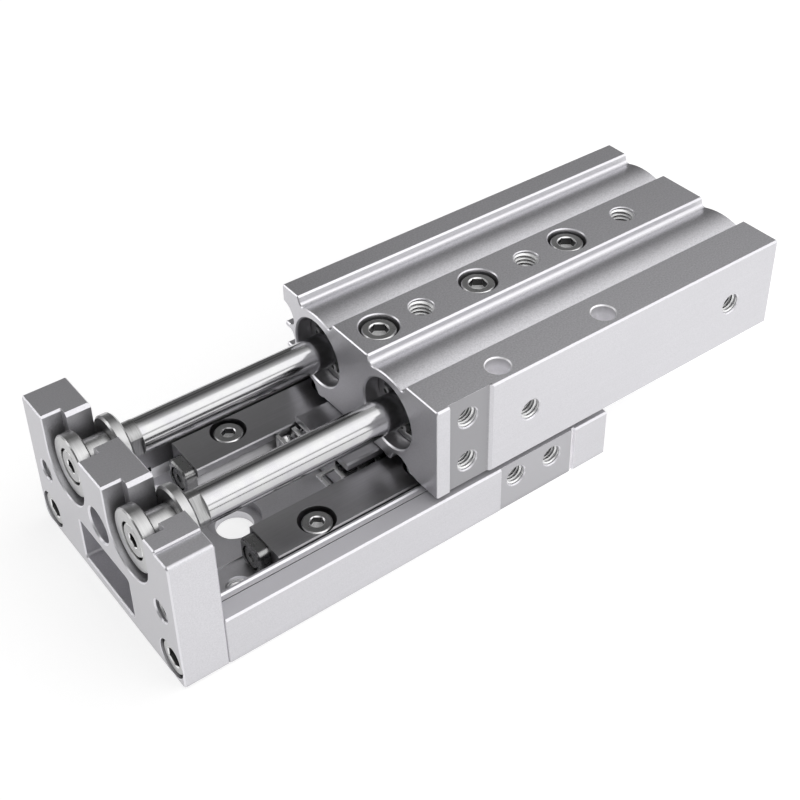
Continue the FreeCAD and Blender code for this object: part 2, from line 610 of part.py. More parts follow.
def cage(s):
    lo, hi = sorted((s * 9.25, s * 10.35))
    k = box(CAGE_X0, CAGE_X1, lo, hi, -32.9, -27.0)
    lo, hi = sorted((s * 5.9, s * 10.35))
    k = k.fuse(box(CAGE_X0, CAGE_X1, lo, hi, -27.6, -27.0))
    for i in range(ROLLER_N):
        x = ROLLER_X0 + i * ROLLER_PITCH
        lo, hi = sorted((s * 6.7, s * 11))
        k = k.cut(box(x - 1.75, x + 1.75, lo, hi, -28.3, -26.5))
        k = k.cut(roller(s, i, ROLLER_D / 2 + 0.12, 9.0))
    return k.removeSplitter()


for s, side in ((-1, "right"), (1, "left")):
    write("roller_cage_" + side, cage(s))
    write("cross_rollers_" + side, *[chamfered_roller(s, i) for i in range(ROLLER_N)])
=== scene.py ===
import math

import bmesh
import bpy
from mathutils import Matrix, Vector


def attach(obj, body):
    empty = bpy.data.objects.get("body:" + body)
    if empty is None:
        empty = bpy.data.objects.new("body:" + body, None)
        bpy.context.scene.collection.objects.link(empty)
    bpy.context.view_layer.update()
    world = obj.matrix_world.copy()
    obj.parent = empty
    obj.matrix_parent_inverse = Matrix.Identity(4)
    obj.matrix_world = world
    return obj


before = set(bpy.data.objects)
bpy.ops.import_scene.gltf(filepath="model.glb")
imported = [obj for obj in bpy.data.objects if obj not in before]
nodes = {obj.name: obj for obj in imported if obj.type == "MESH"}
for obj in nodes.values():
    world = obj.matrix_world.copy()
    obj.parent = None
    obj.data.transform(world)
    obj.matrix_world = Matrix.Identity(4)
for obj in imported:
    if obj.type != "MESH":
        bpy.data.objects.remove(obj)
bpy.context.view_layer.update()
scene = bpy.context.scene

MM = 0.001
SHIFT = Vector((-19.55, 0.0, 38.0))      # from the body's front top edge to the row frame, mm
ROD_Y, ROD_Z = 13.35, 26.1               # rod axes in the row frame, mm


# ---------------------------------------------------------------- node helpers
class Mat:
    """A node material with short names for the nodes used below."""

    def __init__(self, name):
        self.mat = bpy.data.materials.new(name)
        self.mat.use_nodes = True
        self.nt = self.mat.node_tree
        self.nt.nodes.clear()
        self.out = self.nt.nodes.new("ShaderNodeOutputMaterial")
        self.bsdf = self.nt.nodes.new("ShaderNodeBsdfPrincipled")
        self.nt.links.new(self.bsdf.outputs["BSDF"], self.out.inputs["Surface"])
        self.co = self.nt.nodes.new("ShaderNodeTexCoord").outputs["Object"]

    def link(self, a, b):
        self.nt.links.new(a, b)

    def set(self, **values):
        for k, v in values.items():
            self.bsdf.inputs[k.replace("_", " ")].default_value = v

    def to(self, name, socket):
        self.link(socket, self.bsdf.inputs[name])

    def stretched(self, scale, vec=None):
        n = self.nt.nodes.new("ShaderNodeMapping")
        n.inputs["Scale"].default_value = scale
        self.link(vec or self.co, n.inputs["Vector"])
        return n.outputs["Vector"]

    def noise(self, scale, detail=2.0, rough=0.5, vec=None, dist=0.0):
        n = self.nt.nodes.new("ShaderNodeTexNoise")
        n.inputs["Scale"].default_value = scale
        n.inputs["Detail"].default_value = detail
        n.inputs["Roughness"].default_value = rough
        n.inputs["Distortion"].default_value = dist
        self.link(vec or self.co, n.inputs["Vector"])
        return n.outputs["Fac"]

    def noise1(self, w, scale, detail=2.0):
        n = self.nt.nodes.new("ShaderNodeTexNoise")
        n.noise_dimensions = "1D"
        n.inputs["Scale"].default_value = scale
        n.inputs["Detail"].default_value = detail
        self.link(w, n.inputs["W"])
        return n.outputs["Fac"]

    def remap(self, fac, a, b, lo, hi):
        n = self.nt.nodes.new("ShaderNodeMapRange")
        n.clamp = True
        n.inputs["From Min"].default_value = a
        n.inputs["From Max"].default_value = b
        n.inputs["To Min"].default_value = lo
        n.inputs["To Max"].default_value = hi
        self.link(fac, n.inputs["Value"])
        return n.outputs["Result"]

    def math(self, op, a, b):
        n = self.nt.nodes.new("ShaderNodeMath")
        n.operation = op
        for i, v in enumerate((a, b)):
            if isinstance(v, (int, float)):
                n.inputs[i].default_value = v
            else:
                self.link(v, n.inputs[i])
        return n.outputs["Value"]

    def mix(self, fac, a, b):
        n = self.nt.nodes.new("ShaderNodeMix")
        n.data_type = "RGBA"
        self.link(fac, n.inputs["Factor"])
        for key, v in (("A", a), ("B", b)):
            sock = [s for s in n.inputs if s.name == key and s.type == "RGBA"][0]
            if isinstance(v, tuple):
                sock.default_value = v
            else:
                self.link(v, sock)
        return [s for s in n.outputs if s.type == "RGBA"][0]

    def edge(self, radius, samples=4):
        """(rounded normal, edge mask from 0 to 1)"""
        b = self.nt.nodes.new("ShaderNodeBevel")
        b.samples = samples
        b.inputs["Radius"].default_value = radius
        g = self.nt.nodes.new("ShaderNodeNewGeometry")
        d = self.nt.nodes.new("ShaderNodeVectorMath")
        d.operation = "DOT_PRODUCT"
        self.link(b.outputs["Normal"], d.inputs[0])
        self.link(g.outputs["Normal"], d.inputs[1])
        return b.outputs["Normal"], self.remap(d.outputs["Value"], 0.99, 0.85, 0.0, 1.0)

    def shade_in_hollows(self, distance, lo=0.3, hi=0.85, samples=5):
        """0 in the open, 1 deep in a gap or hole; it drives painted shade in the hollows."""
        n = self.nt.nodes.new("ShaderNodeAmbientOcclusion")
        n.samples = samples
        n.inputs["Distance"].default_value = distance
        return self.remap(n.outputs["AO"], lo, hi, 1.0, 0.0)

    def bump(self, height, strength, distance, normal=None):
        n = self.nt.nodes.new("ShaderNodeBump")
        n.inputs["Strength"].default_value = strength
        n.inputs["Distance"].default_value = distance
        self.link(height, n.inputs["Height"])
        if normal is not None:
            self.link(normal, n.inputs["Normal"])
        self.to("Normal", n.outputs["Normal"])

    def axis(self, name):
        n = self.nt.nodes.new("ShaderNodeSeparateXYZ")
        self.link(self.co, n.inputs["Vector"])
        return n.outputs[name]

    def around(self, y, z):
        """Distance from the rod axis on either side, in metres."""
        a = self.nt.nodes.new("ShaderNodeVectorMath")
        a.operation = "ABSOLUTE"
        self.link(self.co, a.inputs[0])
        s = self.nt.nodes.new("ShaderNodeVectorMath")
        s.operation = "SUBTRACT"
        s.inputs[1].default_value = (0, y, z)
        self.link(a.outputs["Vector"], s.inputs[0])
        m = self.nt.nodes.new("ShaderNodeVectorMath")
        m.operation = "MULTIPLY"
        m.inputs[1].default_value = (0, 1, 1)
        self.link(s.outputs["Vector"], m.inputs[0])
        n = self.nt.nodes.new("ShaderNodeVectorMath")
        n.operation = "LENGTH"
        self.link(m.outputs["Vector"], n.inputs[0])
        return n.outputs["Value"]


    def off_axis(self, x, y):
        """Distance from an upright axis, in metres."""
        s = self.nt.nodes.new("ShaderNodeVectorMath")
        s.operation = "SUBTRACT"
        s.inputs[1].default_value = (x, y, 0)
        self.link(self.co, s.inputs[0])
        m = self.nt.nodes.new("ShaderNodeVectorMath")
        m.operation = "MULTIPLY"
        m.inputs[1].default_value = (1, 1, 0)
        self.link(s.outputs["Vector"], m.inputs[0])
        n = self.nt.nodes.new("ShaderNodeVectorMath")
        n.operation = "LENGTH"
        self.link(m.outputs["Vector"], n.inputs[0])
        return n.outputs["Value"]

    def facing(self):
        """Sizes of the three parts of the surface's direction, and the signed part along X."""
        g = self.nt.nodes.new("ShaderNodeNewGeometry")
        a = self.nt.nodes.new("ShaderNodeVectorMath")
        a.operation = "ABSOLUTE"
        self.link(g.outputs["Normal"], a.inputs[0])
        s = self.nt.nodes.new("ShaderNodeSeparateXYZ")
        self.link(a.outputs["Vector"], s.inputs["Vector"])
        t = self.nt.nodes.new("ShaderNodeSeparateXYZ")
        self.link(g.outputs["Normal"], t.inputs["Vector"])
        return s.outputs["X"], s.outputs["Y"], s.outputs["Z"], t.outputs["X"]


def grey(v, tint=(1.0, 1.0, 1.0)):
    return (v * tint[0], v * tint[1], v * tint[2], 1.0)


COOL = (0.985, 0.975, 1.015)
FAINT = (0.994, 0.987, 1.006)


def anodised(name, base, rough, spread=0.03, grain=3200.0, streak=0.2, bores=False, pad=None,
             blasted=0.0, front=1.0, bevel="Z", bright=(), matt_and_lit=None, wells=None):
    """Clear-anodised aluminium: fine grain, faint drawing lines along X, a painted highlight on sloped bevels, and worn
    edges painted brighter as highlights. Painted shade darkens the hollows, and the bores are painted darker as shade.
    pad is (x from, x to, y, factor) in mm of a milled seat on the port side, a little darker than the rest;
    blasted is the extra speckle of level faces; front darkens faces that look along -X, as painted shade; bright lists
    reamed holes (x, y, radius), bare metal with painted light that grows deeper in and a painted highlight on the lip,
    and cut grooves (x from, x to, y to), bare metal painted light, in mm;
    matt_and_lit is (z from, z to, added roughness) of level faces with a duller finish that are also painted lighter,
    in mm of the row frame;
    wells is (y, z, radius, x from) of the screw wells on either side of the plate, with painted shade inside, in mm of
    the row frame."""
    m = Mat(name)
    fine = m.noise(grain, 2.0, 0.6)
    broad = m.noise(45.0, 3.0, 0.5)
    lines = m.noise(1.0, 2.0, 0.5, m.stretched((25.0, 2600.0, 2600.0)))
    speck = m.math("ADD", m.math("MULTIPLY", fine, 1.0 - streak), m.math("MULTIPLY", lines, streak))
    normal, edge = m.edge(0.00010)
    nx, ny, nz, sx = m.facing()
    tone = m.mix(m.remap(speck, 0.3, 0.7, 0.0, 1.0), grey(base * 0.92, COOL), grey(base * 1.07, COOL))
    tone = m.mix(m.remap(broad, 0.3, 0.7, 0.0, 0.3), tone, grey(base * 0.95, COOL))
    if blasted:
        level = m.math("MULTIPLY", m.remap(nz, 0.88, 0.97, 0.0, 1.0), blasted)
        spots = m.noise(2500.0, 3.0, 0.7)
        tone = m.mix(level, tone, m.mix(m.remap(spots, 0.3, 0.7, 0.0, 1.0), grey(base * 0.74, COOL), grey(base * 1.26, COOL)))
    # painted shade: faces that look along -X are drawn darker by the factor front
    if front < 1.0:
        tone = m.mix(m.remap(sx, -0.9, -0.97, 0.0, 1.0), tone, grey(base * front, COOL))
    if pad:
        y = m.axis("Y")
        on = m.math("MULTIPLY", m.remap(y, (pad[2] - 0.15) * MM, (pad[2] - 0.10) * MM, 0.0, 1.0),
                    m.remap(y, (pad[2] + 0.15) * MM, (pad[2] + 0.10) * MM, 0.0, 1.0))
        x = m.axis("X")
        on = m.math("MULTIPLY", on, m.remap(x, (SHIFT.x + pad[0]) * MM, (SHIFT.x + pad[0] + 0.1) * MM, 0.0, 1.0))
        on = m.math("MULTIPLY", on, m.remap(x, (SHIFT.x + pad[1]) * MM, (SHIFT.x + pad[1] - 0.1) * MM, 0.0, 1.0))
        tone = m.mix(on, tone, grey(base * pad[3], COOL))
    # painted highlight on sloped faces, bevels and fillets, that lean towards the axis given by bevel
    bevel_highlight = m.remap(m.math("MAXIMUM", m.math("MAXIMUM", nx, ny), nz), 0.88, 0.78, 0.0, 1.0)
    bevel_highlight = m.math("MULTIPLY", bevel_highlight, m.remap(nz if bevel == "Z" else nx, 0.10, 0.25, 0.0, 1.0))
    tone = m.mix(m.math("MULTIPLY", bevel_highlight, 0.45), tone, grey(0.94, COOL))
    # worn edges, painted brighter as highlights
    tone = m.mix(m.math("MULTIPLY", edge, 0.8), tone, grey(0.92, COOL))
    # painted shade in hollows, gaps and holes
    tone = m.mix(m.math("MULTIPLY", m.shade_in_hollows(0.0022), 0.38), tone, grey(base * 0.12))
    # painted shade inside the plate's screw wells, darker deeper in
    if wells:
        near = m.remap(m.around(wells[0] * MM, wells[1] * MM), (wells[2] + 0.05) * MM, (wells[2] + 0.03) * MM, 0.0, 1.0)
        inside = m.remap(m.axis("X"), wells[3] * MM, (wells[3] + 1.2) * MM, 0.35, 0.93)
        near = m.math("MULTIPLY", near, m.remap(m.axis("X"), (wells[3] - 0.05) * MM, wells[3] * MM, 0.0, 1.0))
        tone = m.mix(m.math("MULTIPLY", near, inside), tone, grey(base * 0.10))
    bare, depth, rim_highlight = None, None, None
    # holes and grooves drawn as bare metal with painted light in them
    for c in bright:
        if isinstance(c[0], str):
            x = m.axis("X")
            on = m.math("MULTIPLY", m.remap(x, (SHIFT.x + c[1] - 0.06) * MM, (SHIFT.x + c[1] - 0.02) * MM, 0.0, 1.0),
                        m.remap(x, (SHIFT.x + c[2] + 0.06) * MM, (SHIFT.x + c[2] + 0.02) * MM, 0.0, 1.0))
            on = m.math("MULTIPLY", on, m.remap(m.axis("Y"), c[3] * MM, (c[3] - 0.05) * MM, 0.0, 1.0))
        else:
            away, z = m.off_axis((SHIFT.x + c[0]) * MM, c[1] * MM), m.axis("Z")
            on = m.remap(away, (c[2] + 0.12) * MM, (c[2] + 0.06) * MM, 0.0, 1.0)
            on = m.math("MULTIPLY", on, m.remap(z, (SHIFT.z - 0.2) * MM, (SHIFT.z - 0.3) * MM, 0.0, 1.0))
            depth = m.remap(z, (SHIFT.z - 0.4) * MM, (SHIFT.z - 2.2) * MM, 0.0, 1.0)
            # painted highlight on the lip at the hole's mouth
            lip_highlight = m.math("MULTIPLY", m.remap(away, (c[2] + 0.29) * MM, (c[2] + 0.27) * MM, 0.0, 1.0),
                         m.remap(z, (SHIFT.z - 0.30) * MM, (SHIFT.z - 0.26) * MM, 0.0, 1.0))
            rim_highlight = lip_highlight if rim_highlight is None else m.math("MAXIMUM", rim_highlight, lip_highlight)
        bare = on if bare is None else m.math("MAXIMUM", bare, on)
    shine = m.remap(speck, 0.3, 0.7, rough - spread, rough + spread)
    if bare is not None:
        # painted light: the bare holes and grooves are drawn near white
        cut = m.mix(m.remap(speck, 0.3, 0.7, 0.0, 1.0), grey(0.89, FAINT), grey(0.97, FAINT))
        if depth is not None:
            # painted light: the hole's wall is darker at the mouth and lighter deeper in
            cut = m.mix(depth, grey(0.60, FAINT), cut)
        tone = m.mix(bare, tone, cut)
        shine = m.math("ADD", shine, m.math("MULTIPLY", bare, 0.30))
    # painted highlight on the holes' lips
    if rim_highlight is not None:
        tone = m.mix(rim_highlight, tone, grey(0.97, FAINT))
        shine = m.math("ADD", shine, m.math("MULTIPLY", rim_highlight, 0.14))
    if matt_and_lit:
        z = m.axis("Z")
        on = m.math("MULTIPLY", m.remap(z, (matt_and_lit[0] - 0.05) * MM, matt_and_lit[0] * MM, 0.0, 1.0),
                    m.remap(z, (matt_and_lit[1] + 0.05) * MM, matt_and_lit[1] * MM, 0.0, 1.0))
        on = m.math("MULTIPLY", on, m.remap(nz, 0.90, 0.96, 0.0, 1.0))
        # painted light: the duller level faces are also drawn lighter
        tone = m.mix(m.math("MULTIPLY", on, 0.6), tone, grey(base * 1.18, COOL))
        shine = m.math("ADD", shine, m.math("MULTIPLY", on, matt_and_lit[2]))
    # painted shade: the rod bores are drawn darker inside
    if bores:
        near = m.remap(m.around(ROD_Y * MM, ROD_Z * MM), 0.00932, 0.00926, 0.0, 1.0)
        inside = m.remap(m.axis("X"), (SHIFT.x + 0.34) * MM, (SHIFT.x + 0.38) * MM, 0.0, 1.0)
        tone = m.mix(m.math("MULTIPLY", near, inside), tone, grey(0.55, COOL))
    m.to("Base Color", tone)
    m.to("Roughness", shine)
    m.set(Metallic=0.9)
    m.bump(speck, 0.11, 0.00003, normal)
    return m.mat


def ground_steel(name, base, rough, bump=0.05):
    """Ground steel: fine lines along X, oil stains, sharp edges painted a little brighter as wear and as highlights,
    painted shade in hollows.
    """
    m = Mat(name)
    lines = m.noise(1.0, 3.0, 0.6, m.stretched((80.0, 6500.0, 6500.0)))
    patch = m.noise(140.0, 3.0, 0.6)
    normal, edge = m.edge(0.00006)
    tone = m.mix(m.remap(lines, 0.3, 0.7, 0.0, 1.0), grey(base * 0.92, COOL), grey(base * 1.08, COOL))
    tone = m.mix(m.remap(patch, 0.35, 0.7, 0.0, 0.5), tone, grey(base * 0.85))
    # edges painted brighter, partly wear and partly highlight
    tone = m.mix(m.math("MULTIPLY", edge, 0.2), tone, grey(0.8, COOL))
    # painted shade in hollows
    tone = m.mix(m.math("MULTIPLY", m.shade_in_hollows(0.0020), 0.6), tone, grey(base * 0.10))
    m.to("Base Color", tone)
    m.to("Roughness", m.remap(patch, 0.3, 0.7, rough - 0.04, rough + 0.06))
    m.set(Metallic=1.0)
    m.bump(lines, bump, 0.00002, normal)
    return m.mat


def plated(name, base, rough, edge_wear_highlight=0.9, metallic=1.0, scale=3500.0, spread=0.04, hollow_shade_strength=0.8, gap=0.0018):
    """Screws and small hardware: slightly uneven plating, worn corners painted brighter as highlights, painted shade in
    hollows.
    """
    m = Mat(name)
    fine = m.noise(scale, 2.0, 0.5)
    patch = m.noise(420.0, 2.0, 0.5)
    normal, edge = m.edge(0.00010)
    tone = m.mix(m.remap(fine, 0.3, 0.7, 0.0, 1.0), grey(base * 0.93), grey(base * 1.06))
    tone = m.mix(m.remap(patch, 0.4, 0.7, 0.0, 0.3), tone, grey(base * 0.85))
    # worn corners, painted brighter as highlights
    tone = m.mix(m.math("MULTIPLY", edge, 0.6), tone, grey(edge_wear_highlight))
    # painted shade in hollows
    tone = m.mix(m.math("MULTIPLY", m.shade_in_hollows(gap), hollow_shade_strength), tone, grey(base * 0.06))
    m.to("Base Color", tone)
    m.to("Roughness", m.remap(patch, 0.3, 0.7, rough - spread, rough + spread))
    m.set(Metallic=metallic)
    m.bump(fine, 0.05, 0.00002, normal)
    return m.mat


def socket_head(name, axis, face, out, deep, base=0.42, rim_highlight=0.92, wall=0.07, bottom=0.95):
    """Socket screw: the head's face is dull; rim_highlight is a painted highlight on the head's outer edge and the
    socket's lead-in, wall is painted shade on the socket's walls, and bottom is the tone of the socket's bottom,
    painted light when high and painted shade when low. face is where the head's face lies on the axis and deep how deep
    the socket is, in mm; out is the way the face looks, +1 or -1."""
    m = Mat(name)
    fine = m.noise(3500.0, 2.0, 0.5)
    patch = m.noise(420.0, 2.0, 0.5)
    normal, edge = m.edge(0.00008)
    w = m.axis(axis)

    def below(depth, soft):
        return m.remap(w, (face - out * depth) * MM, (face - out * (depth + soft)) * MM, 0.0, 1.0)

    def uneven(v):
        return m.mix(m.remap(fine, 0.3, 0.7, 0.0, 1.0), grey(v * 0.93), grey(v * 1.05))

    dull = m.mix(m.remap(patch, 0.4, 0.7, 0.0, 0.4), uneven(base), grey(base * 0.80))
    # painted highlight just below the face: the head's outer edge and the socket's lead-in
    tone = m.mix(below(0.03, 0.04), dull, uneven(rim_highlight))
    # painted shade on the socket's walls
    tone = m.mix(below(0.26, 0.06), tone, uneven(wall))
    floor = below(deep - 0.08, 0.04)
    # the socket's bottom gets the tone bottom: painted light on the top screws, painted shade on the side screws
    tone = m.mix(floor, tone, uneven(bottom))
    # edges painted brighter, partly wear and partly highlight
    tone = m.mix(m.math("MULTIPLY", edge, 0.4), tone, grey(0.95))
    m.to("Base Color", tone)
    m.to("Roughness", m.math("ADD", m.remap(patch, 0.3, 0.7, 0.26, 0.36), m.math("MULTIPLY", floor, 0.55)))
    m.set(Metallic=1.0)
    m.bump(fine, 0.05, 0.00002, normal)
    return m.mat


def turned(name, base, rough, pitch=0.00018):
    """Turned faces: rings about the rod axes on flat faces, lines round the cylinders."""
    m = Mat(name)
    d = m.around(ROD_Y * MM, ROD_Z * MM)
    sep = m.nt.nodes.new("ShaderNodeSeparateXYZ")
    m.link(m.co, sep.inputs["Vector"])
    com = m.nt.nodes.new("ShaderNodeCombineXYZ")
    m.link(sep.outputs["X"], com.inputs["X"])
    m.link(d, com.inputs["Y"])
    rings = m.noise(1.0 / pitch, 2.0, 0.5, com.outputs["Vector"])
    patch = m.noise(380.0, 2.0)
    normal, edge = m.edge(0.00010)
    tone = m.mix(m.remap(rings, 0.3, 0.7, 0.0, 1.0), grey(base * 0.92), grey(base * 1.08))
    # edges painted brighter, partly wear and partly highlight
    tone = m.mix(m.math("MULTIPLY", edge, 0.5), tone, grey(0.93))
    # painted shade in hollows
    tone = m.mix(m.math("MULTIPLY", m.shade_in_hollows(0.0022), 0.85), tone, grey(base * 0.08))
    m.to("Base Color", tone)
    m.to("Roughness", m.remap(patch, 0.3, 0.7, rough - 0.03, rough + 0.04))
    m.set(Metallic=1.0)
    m.bump(rings, 0.10, 0.00002, normal)
    return m.mat


def chrome(name):
    """Hard-chromed rod: polished, with hair-fine lines along it and faint haze."""
    m = Mat(name)
    hair = m.noise(1.0, 2.0, 0.5, m.stretched((30.0, 4200.0, 4200.0)))
    haze = m.noise(240.0, 3.0, 0.6)
    normal, edge = m.edge(0.00010)
    x = m.axis("X")
    milled = m.remap(x, (SHIFT.x - 46.05) * MM, (SHIFT.x - 46.15) * MM, 0.0, 1.0)
    cuts = m.noise(1.0, 2.0, 0.5, m.stretched((5200.0, 300.0, 300.0)))
    tone = m.mix(m.remap(haze, 0.35, 0.7, 0.0, 1.0), grey(0.55), grey(0.52, COOL))
    cut = m.mix(m.remap(cuts, 0.3, 0.7, 0.0, 1.0), grey(0.30), grey(0.44))
    tone = m.mix(milled, tone, cut)
    # painted shade in hollows
    tone = m.mix(m.math("MULTIPLY", m.shade_in_hollows(0.0020), 0.2), tone, grey(0.12))
    m.to("Base Color", tone)
    polish = m.math("ADD", m.remap(hair, 0.3, 0.7, 0.11, 0.14), m.remap(haze, 0.4, 0.7, 0.0, 0.02))
    m.to("Roughness", m.math("ADD", polish, m.math("MULTIPLY", milled, 0.18)))
    m.set(Metallic=1.0)
    m.bump(hair, 0.05, 0.00001, normal)
    return m.mat


def rubber(name, base, rough):
    m = Mat(name)
    fine = m.noise(3800.0, 3.0)
    dust = m.noise(500.0, 3.0)
    tone = m.mix(m.remap(fine, 0.3, 0.7, 0.0, 1.0), grey(base * 0.7), grey(base * 1.3))
    tone = m.mix(m.remap(dust, 0.55, 0.8, 0.0, 0.3), tone, grey(base * 2.2))
    m.to("Base Color", tone)
    m.to("Roughness", m.remap(fine, 0.3, 0.7, rough - 0.08, rough + 0.08))
    m.bump(fine, 0.25, 0.00003)
    return m.mat


def magnet(name):
    m = Mat(name)
    fine = m.noise(5200.0, 4.0, 0.7)
    m.to("Base Color", m.mix(m.remap(fine, 0.3, 0.7, 0.0, 1.0), grey(0.05), grey(0.12)))
    m.to("Roughness", m.remap(fine, 0.3, 0.7, 0.5, 0.7))
    m.set(Metallic=0.4)
    m.bump(fine, 0.4, 0.00003)
    return m.mat


# Painted light and shade set below: the body's bores painted darker and its locating holes painted light; the table's
# groove painted light and its wall top painted lighter; the plate's front face and screw wells painted shade.
BODY = anodised("anodised_body", 0.63, 0.36, bores=True, pad=(3.3, 15.0, -30.2, 0.53), blasted=0.6,
                bright=((19.7, -26.5, 2.75), (50.0, -26.5, 2.75)))
TABLE = anodised("anodised_table", 0.62, 0.36, pad=(17.8, 38.8, -30.6, 0.72), bright=(("groove", 38.8, 39.6, -30.15),),
                 matt_and_lit=(12.5, 12.7, 0.46))
PLATE = anodised("anodised_plate", 0.65, 0.36, streak=0.0, front=0.84, bevel="X", wells=(26.3, 4.7, 4.4, -82.28))
# THREAD and THREAD_SHADED are lit and shaded copies of one cut thread: the bright one is painted light, the dark one,
# for the plate's holes, painted shade
THREAD = plated("cut_thread", 0.93, 0.44, 0.98, hollow_shade_strength=0.7, gap=0.0008)
THREAD_SHADED = plated("cut_thread_shaded", 0.55, 0.36, 0.98, hollow_shade_strength=0.9, gap=0.0014)
GUIDE = ground_steel("guide_steel", 0.45, 0.33)
BLACK = plated("black_steel", 0.30, 0.27, 0.9, hollow_shade_strength=0.7)
# The socket tones are painted light and shade: bright socket bottoms on the top screws, dark ones on the side screws.
GUIDE_SCREW = socket_head("screw_guide", "Z", 37.25, 1, 2.1)
RAIL_SCREW = socket_head("screw_rail", "Z", 11.0, 1, 1.68)
PLATE_SCREW = socket_head("screw_plate", "X", -81.95, -1, 2.1, base=0.52, wall=0.32, bottom=0.10)
ROD_SCREW = socket_head("screw_rod_end", "X", -81.0, -1, 0.945, base=0.46, bottom=0.3)
CHROME = chrome("rod_chrome")
TURNED = turned("turned_steel", 0.50, 0.30)
ROLLER = plated("roller_steel", 0.80, 0.14, 0.95, hollow_shade_strength=0.3)
CAGE = plated("cage_metal", 0.84, 0.30, 0.9, hollow_shade_strength=0.4, gap=0.001)
FITTING = turned("fitting_alloy", 0.50, 0.42)
SPRING = plated("spring_steel", 0.74, 0.42, 0.9, hollow_shade_strength=0.2)
RUBBER = rubber("seal_rubber", 0.018, 0.55)
MAGNET = magnet("magnet")

FINISH = {
    "cylinder_body": BODY, "table": TABLE, "end_plate": PLATE,
    "guide_block": GUIDE, "rail_right": GUIDE, "rail_left": GUIDE,
    "rail_stops": BLACK, "stop_screws": BLACK,
    "guide_screws": GUIDE_SCREW, "end_plate_screws": PLATE_SCREW, "rail_screws": RAIL_SCREW,
    "rod_end_screw_right": ROD_SCREW, "rod_end_screw_left": ROD_SCREW,
    "piston_rod_right": CHROME, "piston_rod_left": CHROME,
    "rod_washer_right": TURNED, "rod_washer_left": TURNED,
    "float_bush_right": TURNED, "float_bush_left": TURNED,
    "cross_rollers_right": ROLLER, "cross_rollers_left": ROLLER,
    "roller_cage_right": CAGE, "roller_cage_left": CAGE,
    "rod_guide_right": FITTING, "rod_guide_left": FITTING,
    "head_cap_right": FITTING, "head_cap_left": FITTING,
    "piston_right": FITTING, "piston_left": FITTING,
    "front_retaining_rings": SPRING, "rear_retaining_rings": SPRING,
    "rod_seals": RUBBER, "rod_guide_o_rings": RUBBER, "head_cap_o_rings": RUBBER,
    "piston_seals": RUBBER, "piston_bumpers": RUBBER, "piston_magnets": MAGNET,
}
for name, obj in nodes.items():
    for s in obj.material_slots:
        s.material = FINISH[name]


# ---------------------------------------------------------------- thread ridges
def thread(name, mouth, inward, wall, crest, pitch, start, depth, body, finish=THREAD):
    """Helical ridge of a tapped hole. mouth is on the hole's axis, in mm, in the body's own frame of part drawings."""
    d = Vector(inward).normalized()
    u = d.orthogonal().normalized()
    w = d.cross(u)
    o = Vector(mouth) + SHIFT
    per = 40
    turns = (depth - start) / pitch
    count = int(turns * per) + 1
    bm = bmesh.new()
    rings = []
    for i in range(count):
        a = 2 * math.pi * i / per
        s = start + pitch * i / per
        fade = min(1.0, i / (per * 0.5), (count - 1 - i) / (per * 0.35))
        top = wall + 0.04 + (crest - wall - 0.04) * max(fade, 0.02)
        flat = 0.06 * pitch
        half = 0.43 * pitch
        ring = []
        for r, t in ((wall + 0.04, -half), (top, -flat), (top, flat), (wall + 0.04, half)):
            p = o + d * (s + t) + (u * math.cos(a) + w * math.sin(a)) * r
            ring.append(bm.verts.new(p * MM))
        rings.append(ring)
    for a, b in zip(rings, rings[1:]):
        for k in range(4):
            bm.faces.new((a[k], a[(k + 1) % 4], b[(k + 1) % 4], b[k]))
    bm.faces.new(rings[0][::-1])
    bm.faces.new(rings[-1])
    bmesh.ops.recalc_face_normals(bm, faces=bm.faces)
    for e in bm.edges:
        e.smooth = False
    for f in bm.faces:
        f.smooth = True
    for a, b in zip(rings, rings[1:]):
        for k in range(4):
            e = bm.edges.get((a[k], a[(k + 1) % 4]))
            if e:
                e.smooth = True
    me = bpy.data.meshes.new(name)
    bm.to_mesh(me)
    bm.free()
    me.materials.append(finish)
    ob = bpy.data.objects.new(name, me)
    scene.collection.objects.link(ob)
    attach(ob, body)
    return ob


for i, x in enumerate((19.7, 50.5, 81.3)):
    thread(f"thread_body_top_{i + 1}", (x, 0, 0), (0, 0, -1), 3.0, 2.52, 1.0, 0.55, 9.6, "cylinder")
for i, x in enumerate((25.6, 87.8)):
    thread(f"thread_port_{i + 1}", (x, -31, -12.2), (0, 1, 0), 2.5, 2.1, 0.8, 0.6, 7.0, "cylinder")
for i, z in enumerate((-6.1, -18.1)):
    thread(f"thread_body_pad_{i + 1}", (8.7, -30.2, z), (0, 1, 0), 2.5, 2.1, 0.8, 0.6, 6.6, "cylinder")
for i, x in enumerate((22.5, 33.0)):
    thread(f"thread_table_pad_{i + 1}", (x, -30.6, -30.1), (0, 1, 0), 2.5, 2.1, 0.8, 0.6, 5.2, "table")
for i, y in enumerate((-25.0, 25.0)):
    thread(f"thread_plate_{i + 1}", (-62.9, y, -20.7), (1, 0, 0), 2.5, 2.1, 0.8, 0.6, 9.6, "table",
           THREAD_SHADED)
for i, (x, y) in enumerate((x, y) for x in (-41.8, -11.8, 18.2) for y in (-17.4, 17.4)):
    thread(f"thread_table_under_{i + 1}", (x, y, -38.0), (0, 0, 1), 2.5, 2.1, 0.8, 0.6, 3.2, "table")


